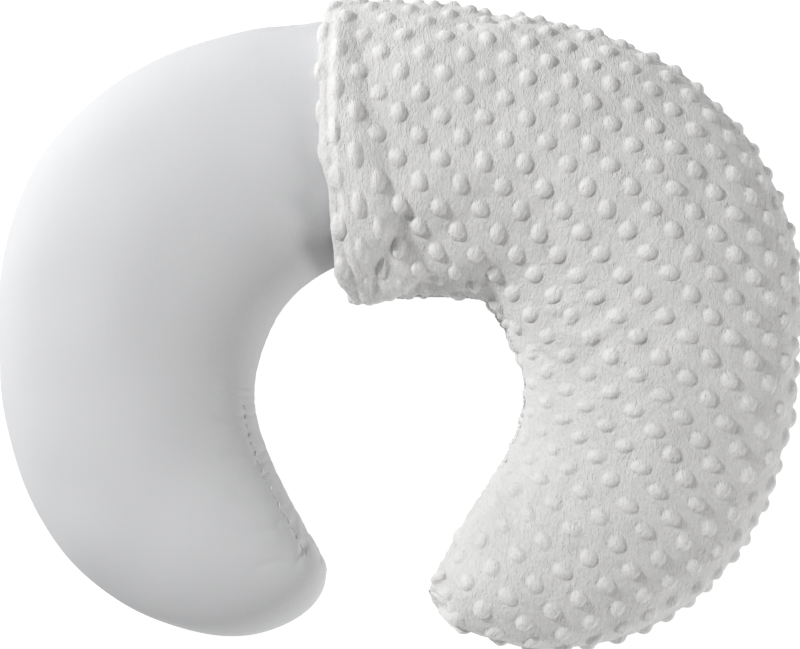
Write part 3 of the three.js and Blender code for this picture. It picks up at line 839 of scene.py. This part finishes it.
def modelled(name, thickness, length):  # one stitch, its ends rounded over
    bpy.ops.object.select_all(action="DESELECT")
    bpy.ops.mesh.primitive_cylinder_add(vertices=stitchSides, radius=thickness / 2, depth=length)
    stitch = bpy.context.object
    stitch.name = name
    for edge in stitch.data.edges:
        ends = [stitch.data.vertices[k].co.z for k in edge.vertices]
        edge.select = abs(ends[0] - ends[1]) < 1e-9
    for face in stitch.data.polygons:
        face.select = False
    bpy.ops.object.mode_set(mode="EDIT")
    bpy.ops.mesh.select_mode(type="EDGE")
    bpy.ops.mesh.bevel(offset=thickness * stitchRounding, segments=1)
    bpy.ops.object.mode_set(mode="OBJECT")
    return stitch


def repeated(name, model, places, along, outwards):  # copies of a small model, each turned to its place
    mesh = model.data
    shape = np.empty(len(mesh.vertices) * 3, np.float32)
    mesh.vertices.foreach_get("co", shape)
    shape = shape.reshape(-1, 3) / mm
    side = np.cross(outwards, along)
    turned = (shape[None, :, 0:1] * side[:, None] + shape[None, :, 1:2] * outwards[:, None]
              + shape[None, :, 2:3] * along[:, None] + places[:, None])
    quads = [p.vertices[:] for p in mesh.polygons if len(p.vertices) == 4]
    others = []
    for polygon in mesh.polygons:
        corners = polygon.vertices[:]
        if len(corners) != 4:
            others += [(corners[0], corners[k], corners[k + 1]) for k in range(1, len(corners) - 1)]
    offsets = (np.arange(len(places)) * len(shape))[:, None, None]
    allQuads = (np.array(quads, int).reshape(1, -1, 4) + offsets).reshape(-1, 4)
    allOthers = (np.array(others, int).reshape(1, -1, 3) + offsets).reshape(-1, 3)
    bpy.data.objects.remove(model)
    return placed(name, meshFrom(name, toPart(turned.reshape(-1, 3)), allQuads, allOthers))


def stitchLine(name, runs, thread):  # a dashed row of stitches along runs of (points, outward directions)
    places, along, outwards = [], [], []
    for points, away in runs:
        total = distances(points)[-1]
        marks = np.arange(thread["pitch"] / 2, total - thread["pitch"] / 2, thread["pitch"])
        middle = atDistance(points, marks)
        ahead = unit(atDistance(points, marks + 0.6) - atDistance(points, marks - 0.6))
        reached = distances(points)
        out = unit(np.stack([np.interp(marks, reached, away[:, k]) for k in range(3)], 1))
        out = unit(out - ahead * (out * ahead).sum(1, keepdims=True))
        slant = thread.get("slant", 0) * np.where(np.arange(len(marks)) % 2, 1, -1)[:, None]
        cross = np.cross(out, ahead)
        places.append(middle + out * thread["lift"])
        along.append(unit(ahead + cross * slant))
        outwards.append(out)
    model = modelled(name + "One", thread["thickness"] * mm, thread["length"] * mm)
    return repeated(name, model, np.concatenate(places), np.concatenate(along), np.concatenate(outwards))


def seamOf(formGrid, columnAt, spacing=2.0):
    edge = formGrid[:, columnAt]
    rowsAt = rowPlaces(edge, np.full(len(edge), spacing))
    points = finer(formGrid, rowsAt, np.array([float(columnAt)]))[:, 0]
    ahead = unit(np.gradient(points, axis=0))
    away = np.cross(ahead, zUp) * (1 if columnAt == 0 else -1)
    return points, away


seamThread = {"pitch": 3.4, "length": 2.7, "thickness": 0.7, "lift": -1.9}
closingThread = {"pitch": 6.2, "length": 4.0, "thickness": 0.8, "lift": 0.55, "slant": 0.9}
nearColumns = 40  # a row of stitches lies within this many columns of the edge


def lineOn(panel, rows, fromEdge):  # follows a panel's face, this far along the cloth from its inner edge
    points, away = [], []
    near = np.arange(nearColumns)
    for row in rows:
        column = np.interp(fromEdge, panel["edge"][row, near], near)
        low, share = int(column), column - int(column)
        points.append(panel["face"][row, low] * (1 - share) + panel["face"][row, low + 1] * share)
        away.append(panel["normal"][row, low])
    even = [evened(values, lineEvening) for values in np.array(points).T]
    return np.stack(even, 1), np.array(away)


def tickingThreads():
    inner, innerAway = seamOf(tickingForm, 0)
    outer, outerAway = seamOf(tickingForm, form["columns"] // 2)
    seam = stitchLine("tickingSeamThread", [(outer, outerAway), (inner, innerAway)], seamThread)
    share = bareFace["share"]
    rows = np.flatnonzero((share >= closing["first"]) & (share <= closing["last"]))
    slip = stitchLine("closingSlipStitches", [lineOn(bareFace, rows, closing["up"])], closingThread)
    return seam, slip


tickingSeam, closingStitches = tickingThreads()


coverSeamThread = {"pitch": 3.6, "length": 2.8, "thickness": 0.8, "lift": -2.6}


def coverThread():
    inner, innerAway = seamOf(coverForm, 0)
    outer, outerAway = seamOf(coverForm, form["columns"] // 2)
    angle = np.degrees(np.arctan2(inner[:, 1], inner[:, 0]))
    sewn = angle < cover["zipEndAngle"] - cover["zipEndFade"]
    runs = [(outer, outerAway), (inner[sewn], innerAway[sewn])]
    return stitchLine("coverSeamThread", runs, coverSeamThread)


coverSeam = coverThread()

zipShape = {
    "depth": 3.4,  # from the cover's face back to the middle of the coils
    "bottomAngle": -25,
    "sliderAngle": 34,
    "firstSpread": 1.15,
    "openSpread": 2.2,
    "turnX": -19,
    "turnRadius": 4.5,
    "tapeExtra": 10.0,
    "coilPitch": 1.3,
    "coilOff": 1.0,  # from the zip's line to the middle of a coil
    "slant": 0.22,
}
zipRow = {"pitch": 3.0, "length": 2.3, "thickness": 0.7, "lift": 0.05, "fromEdge": 3.0}


def zipStitches(name, panel):
    start = panel["extra"]
    rows = np.arange(start, len(panel["face"]))
    rows = rows[panel["angle"][rows - start] > zipShape["bottomAngle"] - 1]
    points, away = lineOn(panel, rows, zipRow["fromEdge"])
    return stitchLine(name, [(points[3:], away[3:])], zipRow)


zipStitchUpper = zipStitches("zipStitchUpper", upperFace)
zipStitchLower = zipStitches("zipStitchLower", lowerFace)

print("fitting the zip")


def opening(distance):  # how far apart the zip's halves are, past the slider
    first, full = zipShape["firstSpread"], zipShape["openSpread"]
    return first * smooth(distance, 0, 5) + (full - first) * smooth(distance, 4, 45)


def zipLine(side, extra):
    radius = plan["wallRadius"] + zipShape["depth"]
    y = plan["flapY"] + zipShape["depth"]
    low = zipShape["bottomAngle"] - 1 - math.degrees(extra / radius)
    arc = arcRun(radius, low, 40)
    bend = bezierRun(arc[-1], (60.0, y + 0.6), (54.0, y), (44.0, y))
    turn = np.array([onCircle(zipShape["turnRadius"], 270 - a) for a in np.linspace(0, 180, 13)])
    turn += [zipShape["turnX"], y + zipShape["turnRadius"]]
    back = np.array([(zipShape["turnX"] + 30 + extra, y + 2 * zipShape["turnRadius"])])
    flat = joinRuns(arc, bend, turn, back)
    flat = atDistance(flat, np.linspace(0, distances(flat)[-1], 420))
    slider = distances(flat)[np.argmin(np.hypot(*(flat - onCircle(radius, zipShape["sliderAngle"])).T))]
    spread = side * opening(distances(flat) - slider)
    return np.column_stack([flat, seamZ + spread])


coilShape = {"radius": 0.78, "wire": 0.27, "stretch": 1.3}


def coilLoop(name):  # one turn of the nylon coil
    radius, wire = coilShape["radius"] * mm, coilShape["wire"] * mm
    bpy.ops.object.select_all(action="DESELECT")
    bpy.ops.mesh.primitive_torus_add(
        major_segments=10, minor_segments=4, major_radius=radius, minor_radius=wire)
    loop = bpy.context.object
    loop.name = name
    bpy.ops.object.mode_set(mode="EDIT")
    bpy.ops.transform.resize(value=(coilShape["stretch"], 1.0, 1.0))
    bpy.ops.object.mode_set(mode="OBJECT")
    return loop


def coil(name, side):
    line = zipLine(side, 0)
    pitch = zipShape["coilPitch"]
    first = pitch / 2 if side > 0 else pitch  # the two coils lie half a pitch apart
    marks = np.arange(first, distances(line)[-1], pitch)
    middle = atDistance(line, marks) + zUp * side * zipShape["coilOff"]
    ahead = unit(atDistance(line, marks + 0.4) - atDistance(line, marks - 0.4))
    ahead = unit(ahead + zUp * zipShape["slant"] * side)
    inward = unit(np.cross(ahead, zUp))
    return repeated(name, coilLoop(name + "One"), middle, ahead, inward)


tapeShape = {"front": 0.7, "back": 1.1, "low": 2.1, "high": 8.2, "ribs": 7, "rib": 0.12}


def zipTape(name, side):
    line = zipLine(side, zipShape["tapeExtra"])
    ahead = unit(np.gradient(line, axis=0))
    behind = unit(np.cross(zUp, ahead))
    behind *= np.sign((behind[:40, :2] * line[:40, :2]).sum())
    across = np.linspace(tapeShape["low"], tapeShape["high"], tapeShape["ribs"])
    profile = [(a, tapeShape["front"] + tapeShape["rib"] * (k % 2)) for k, a in enumerate(across)]
    profile += [(a, tapeShape["back"]) for a in across[::-1]]
    rows = np.stack([line + zUp * side * a + behind * b for a, b in profile], 1)
    rings, around = rows.shape[:2]
    points = np.concatenate([rows.reshape(-1, 3), rows[:1].mean(1), rows[-1:].mean(1)])
    quads, caps = closedFaces(rings, around)
    if side < 0:
        quads, caps = quads[:, ::-1], caps[:, ::-1]
    piece = placed(name, meshFrom(name, toPart(points), quads, caps))
    flat = np.zeros((len(points), 2))
    flat[: rings * around, 0] = np.repeat(distances(line), around)
    flat[: rings * around, 1] = np.tile([a for a, b in profile], rings)
    setFabricMap(piece, flat, len(points))
    return piece


coilUpper, coilLower = coil("zipCoilUpper", 1), coil("zipCoilLower", -1)
tapeUpper, tapeLower = zipTape("zipTapeUpper", 1), zipTape("zipTapeLower", -1)


casting = {"flat": 2, "edge": 35, "smooth": 40}  # angles, in degrees


def roundedCopy(node, name, width):  # a casting with its edges eased, from the solid that the CAD holds
    source = frame["nodes"][node]
    piece = placed(name, source.data.copy())
    piece.data.materials.clear()
    alone(piece)
    bpy.ops.object.mode_set(mode="EDIT")
    bpy.ops.mesh.select_all(action="SELECT")
    bpy.ops.mesh.remove_doubles(threshold=1e-6)
    bpy.ops.mesh.dissolve_limited(angle_limit=math.radians(casting["flat"]))
    bpy.ops.object.mode_set(mode="OBJECT")
    ease = piece.modifiers.new("Bevel", "BEVEL")
    ease.width = width * mm
    ease.segments = 2
    ease.limit_method = "ANGLE"
    ease.angle_limit = math.radians(casting["edge"])
    bpy.ops.object.modifier_apply(modifier=ease.name)
    bpy.ops.object.shade_smooth_by_angle(angle=math.radians(casting["smooth"]))
    return piece


slider = roundedCopy("zip_slider", "zipSlider", 0.16)
pull = roundedCopy("zip_pull", "zipPull", 0.14)
bottomStop = roundedCopy("zip_bottom_stop", "zipBottomStop", 0.25)
topStopUpper = roundedCopy("zip_top_stop_upper", "zipTopStopUpper", 0.25)
topStopLower = roundedCopy("zip_top_stop_lower", "zipTopStopLower", 0.25)

print("laying the finishes")


def setInputs(node, values):  # each value is a number, a colour or the output that feeds the input
    for key, value in values.items():
        if isinstance(value, bpy.types.NodeSocket):
            node.id_data.links.new(value, node.inputs[key])
        else:
            node.inputs[key].default_value = value


def newFinish(name, **looks):
    finish = bpy.data.materials.new(name)
    finish.use_nodes = True
    shader = finish.node_tree.nodes["Principled BSDF"]
    setInputs(shader, {key.replace("_", " "): value for key, value in looks.items()})
    where = finish.node_tree.nodes.new("ShaderNodeTexCoord").outputs
    return finish, shader, where["Object"], where["UV"]


def give(piece, finish):
    piece.data.materials.clear()
    piece.data.materials.append(finish)


def addNode(source, kind, values, **settings):  # in the same tree as the output it starts from
    node = source.id_data.nodes.new("ShaderNode" + kind)
    for key, value in settings.items():
        setattr(node, key, value)
    setInputs(node, values)
    return node


def noise(where, scale, detail=2, distortion=0):
    values = {"Vector": where, "Scale": scale, "Detail": detail, "Distortion": distortion}
    return addNode(where, "TexNoise", values).outputs["Fac"]


def bands(where, direction, scale, distortion=0, detailScale=1):
    values = {"Vector": where, "Scale": scale, "Distortion": distortion, "Detail Scale": detailScale}
    return addNode(where, "TexWave", values, wave_type="BANDS", bands_direction=direction).outputs["Fac"]


def combined(a, b, operation):
    return addNode(a, "Math", {0: a, 1: b}, operation=operation).outputs["Value"]


def tint(factor, low, high):
    values = {"Factor": factor, "A": (*low, 1), "B": (*high, 1)}
    return addNode(factor, "Mix", values, data_type="RGBA").outputs["Result"]


def inRange(value, **limits):
    values = {"Value": value, **{key.replace("_", " "): limit for key, limit in limits.items()}}
    return addNode(value, "MapRange", values).outputs["Result"]


def bump(height, strength, distance, under=None):
    node = addNode(height, "Bump", {"Height": height, "Strength": strength, "Distance": distance})
    if under is not None:
        setInputs(node, {"Normal": under})
    return node.outputs["Normal"]


def cottonFinish():
    finish, shader, inPart, onCloth = newFinish("tickingCotton", Roughness=0.9, Specular_IOR_Level=0.25)
    weave = [bands(onCloth, way, scale=260, distortion=1.2, detailScale=2.0) for way in ("X", "Y")]
    slub = noise(inPart, scale=420, detail=4)
    mottle = noise(inPart, scale=16, detail=3)
    coarse = bump(slub, strength=0.35, distance=0.0003)
    setInputs(shader, {
        "Base Color": tint(mottle, (0.62, 0.623, 0.635), (0.66, 0.663, 0.672)),
        "Normal": bump(combined(*weave, "MULTIPLY"), strength=0.3, distance=0.0002, under=coarse),
    })
    return finish


def plushFinish():
    finish, shader, inPart, onCloth = newFinish(
        "dottedPlush", Roughness=0.95, Sheen_Weight=0.35, Sheen_Roughness=0.55, Specular_IOR_Level=0.15)
    lie = {"Vector": onCloth, "Rotation": (0, 0, math.radians(12)), "Scale": (1.0, 0.45, 1.0)}
    combed = addNode(onCloth, "Mapping", lie).outputs["Vector"]
    nap = noise(combed, scale=1100, detail=3)
    tufts = noise(combed, scale=480, detail=4, distortion=0.6)
    brushed = noise(inPart, scale=40, detail=4)
    # painted light: the plush colour runs from darker in the relief's valleys (painted shade) to lighter
    # on the dot tops and the cuff (painted highlight)
    paintedShadeRelief = addNode(inPart, "Attribute", {}, attribute_name="PaintedShadeRelief").outputs["Fac"]
    paintedLightColour = tint(inRange(paintedShadeRelief, From_Min=-2.0, From_Max=3.0), (0.685, 0.681, 0.672), (0.785, 0.781, 0.772))
    shading = {"Factor": 0.22, "A": paintedLightColour, "B": combined(tufts, brushed, "ADD")}
    shaded = addNode(paintedLightColour, "Mix", shading, data_type="RGBA", blend_type="MULTIPLY")
    coarse = bump(tufts, strength=0.8, distance=0.0013)
    setInputs(shader, {
        "Base Color": shaded.outputs["Result"],
        "Normal": bump(nap, strength=0.9, distance=0.0009, under=coarse),
    })
    return finish


def fibreFinish():
    finish, shader, inPart, _ = newFinish("fibreWadding", Roughness=1.0)
    strands = noise(inPart, scale=240, detail=6, distortion=2.5)
    setInputs(shader, {
        "Base Color": tint(strands, (0.72, 0.72, 0.73), (0.86, 0.86, 0.86)),
        "Normal": bump(strands, strength=0.8, distance=0.001),
    })
    return finish


threadShade = 0.82  # between the plies


def threadFinish(name, colour):
    finish, shader, inPart, _ = newFinish(name, Roughness=0.6, Sheen_Weight=0.2)
    twist = bands(inPart, "DIAGONAL", scale=420, distortion=1.5)
    setInputs(shader, {
        "Base Color": tint(twist, [part * threadShade for part in colour], colour),
        "Normal": bump(twist, strength=0.6, distance=0.0002),
    })
    return finish


def nylonFinish():
    finish, shader, inPart, _ = newFinish(
        "coilNylon", Roughness=0.42, Subsurface_Weight=0.1, Subsurface_Scale=0.001)
    haze = noise(inPart, scale=700)
    setInputs(shader, {"Base Color": tint(haze, (0.66, 0.66, 0.65), (0.78, 0.78, 0.77))})
    return finish


def tapeFinish():
    finish, shader, _, onCloth = newFinish("wovenTape", Roughness=0.75)
    ribs = bands(onCloth, "X", scale=380)
    chevron = bands(onCloth, "Y", scale=300, distortion=1.0)
    woven = combined(ribs, chevron, "MULTIPLY")
    setInputs(shader, {
        "Base Color": tint(woven, (0.58, 0.58, 0.575), (0.74, 0.74, 0.735)),
        "Normal": bump(woven, strength=0.6, distance=0.0002),
    })
    return finish


def metalFinish():
    finish, shader, inPart, _ = newFinish("nickelPlate", Metallic=1.0)
    wear = noise(inPart, scale=260, detail=5)
    setInputs(shader, {
        "Base Color": tint(wear, (0.60, 0.60, 0.61), (0.74, 0.74, 0.75)),
        "Roughness": inRange(wear, To_Min=0.2, To_Max=0.42),
        "Normal": bump(wear, strength=0.12, distance=0.0001),
    })
    return finish


cotton = cottonFinish()
plush = plushFinish()
wadding = fibreFinish()
cottonThread = threadFinish("cottonThread", (0.8, 0.8, 0.81))
plushThread = threadFinish("plushThread", (0.66, 0.65, 0.64))
nylon = nylonFinish()
tapeCloth = tapeFinish()
nickel = metalFinish()

# Each piece with its finish, the CAD node it stands for, its body, its material slot and its fill.
for piece, finish, node, body, slotName, fill in (
    (tickingTop, cotton, "ticking_top_panel", "pillow", "ticking", 0.85),
    (tickingBottom, cotton, "ticking_bottom_panel", "pillow", "ticking", 0.85),
    (fibreFilling, wadding, "fibre_filling", "pillow", "filling", 0.85),
    (coverTop, plush, "cover_top_panel", "pillow", "plush", 0.8),
    (coverBottom, plush, "cover_bottom_panel", "pillow", "plush", 0.8),
    (turnedIn, plush, "turned_in_cover_half", "pillow", "plush", 0.3),
    (tickingSeam, cottonThread, "ticking_seam_thread", "pillow", "thread", None),
    (closingStitches, cottonThread, "closing_seam_thread", "pillow", "thread", None),
    (coverSeam, plushThread, "cover_seam_thread", "pillow", "thread", None),
    (zipStitchUpper, plushThread, "zip_stitch_upper", "pillow", "thread", None),
    (zipStitchLower, plushThread, "zip_stitch_lower", "pillow", "thread", None),
    (coilUpper, nylon, "zip_coil_upper", "pillow", "nylon", None),
    (coilLower, nylon, "zip_coil_lower", "pillow", "nylon", None),
    (tapeUpper, tapeCloth, "zip_tape_upper", "pillow", "tape", None),
    (tapeLower, tapeCloth, "zip_tape_lower", "pillow", "tape", None),
    (bottomStop, nickel, "zip_bottom_stop", "pillow", "zip_metal", None),
    (topStopUpper, nickel, "zip_top_stop_upper", "pillow", "zip_metal", None),
    (topStopLower, nickel, "zip_top_stop_lower", "pillow", "zip_metal", None),
    (slider, nickel, "zip_slider", "slider", "zip_metal", None),
    (pull, nickel, "zip_pull", "pull", "zip_metal", None),
):
    give(piece, finish)
    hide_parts(node)
    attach(piece, body)

print("setting up the floor, lights and camera")

studio = {
    "floorSize": 6.0,
    "floorColour": (0.25, 0.25, 0.25, 1),
    "floorGlow": 0.9,
    "airGlow": 0.31,
    "aim": (0, 0, 0.05),  # of both lights
    "sensorWidth": 36,
    "cameraHeight": 1.8,
    "pictureWidth": 0.528,  # at the height of the seams
    "lookAt": (0.0020, -0.0009),
}


def studioFloor():
    bpy.ops.object.select_all(action="DESELECT")
    bpy.ops.mesh.primitive_plane_add(size=studio["floorSize"])
    floor = bpy.context.object
    floor.name = "studioFloor"
    look = {"Base_Color": studio["floorColour"], "Roughness": 0.9}
    glow = {"Emission_Color": (1, 1, 1, 1), "Emission_Strength": studio["floorGlow"]}
    give(floor, newFinish("paleFloor", **look, **glow)[0])


def softBox(name, place, size, power, colour):
    lamp = bpy.data.lights.new(name, "AREA")
    lamp.size = size
    lamp.energy = power
    lamp.color = colour
    holder = bpy.data.objects.new(name, lamp)
    bpy.context.scene.collection.objects.link(holder)
    holder.location = place
    direction = Vector(studio["aim"]) - Vector(place)
    holder.rotation_euler = direction.to_track_quat("-Z", "Y").to_euler()


studioFloor()
softBox("keyLight", place=(-1.5, 1.0, 1.45), size=0.3, power=41.5, colour=(1, 1, 1))
softBox("fillLight", place=(1.8, -1.3, 0.8), size=0.8, power=18, colour=(1, 0.995, 0.99))
world = bpy.data.worlds.new("studioAir")
world.use_nodes = True
setInputs(world.node_tree.nodes["Background"], {"Color": (1, 1, 1, 1), "Strength": studio["airGlow"]})
bpy.context.scene.world = world
bpy.context.scene.view_settings.view_transform = "Standard"

camera = bpy.data.cameras.new("studioCamera")
camera.sensor_width = studio["sensorWidth"]
camera.lens = camera.sensor_width * (studio["cameraHeight"] - seamZ * mm) / studio["pictureWidth"]
eye = bpy.data.objects.new("studioCamera", camera)
bpy.context.scene.collection.objects.link(eye)
eye.location = (*studio["lookAt"], studio["cameraHeight"])
bpy.context.scene.camera = eye
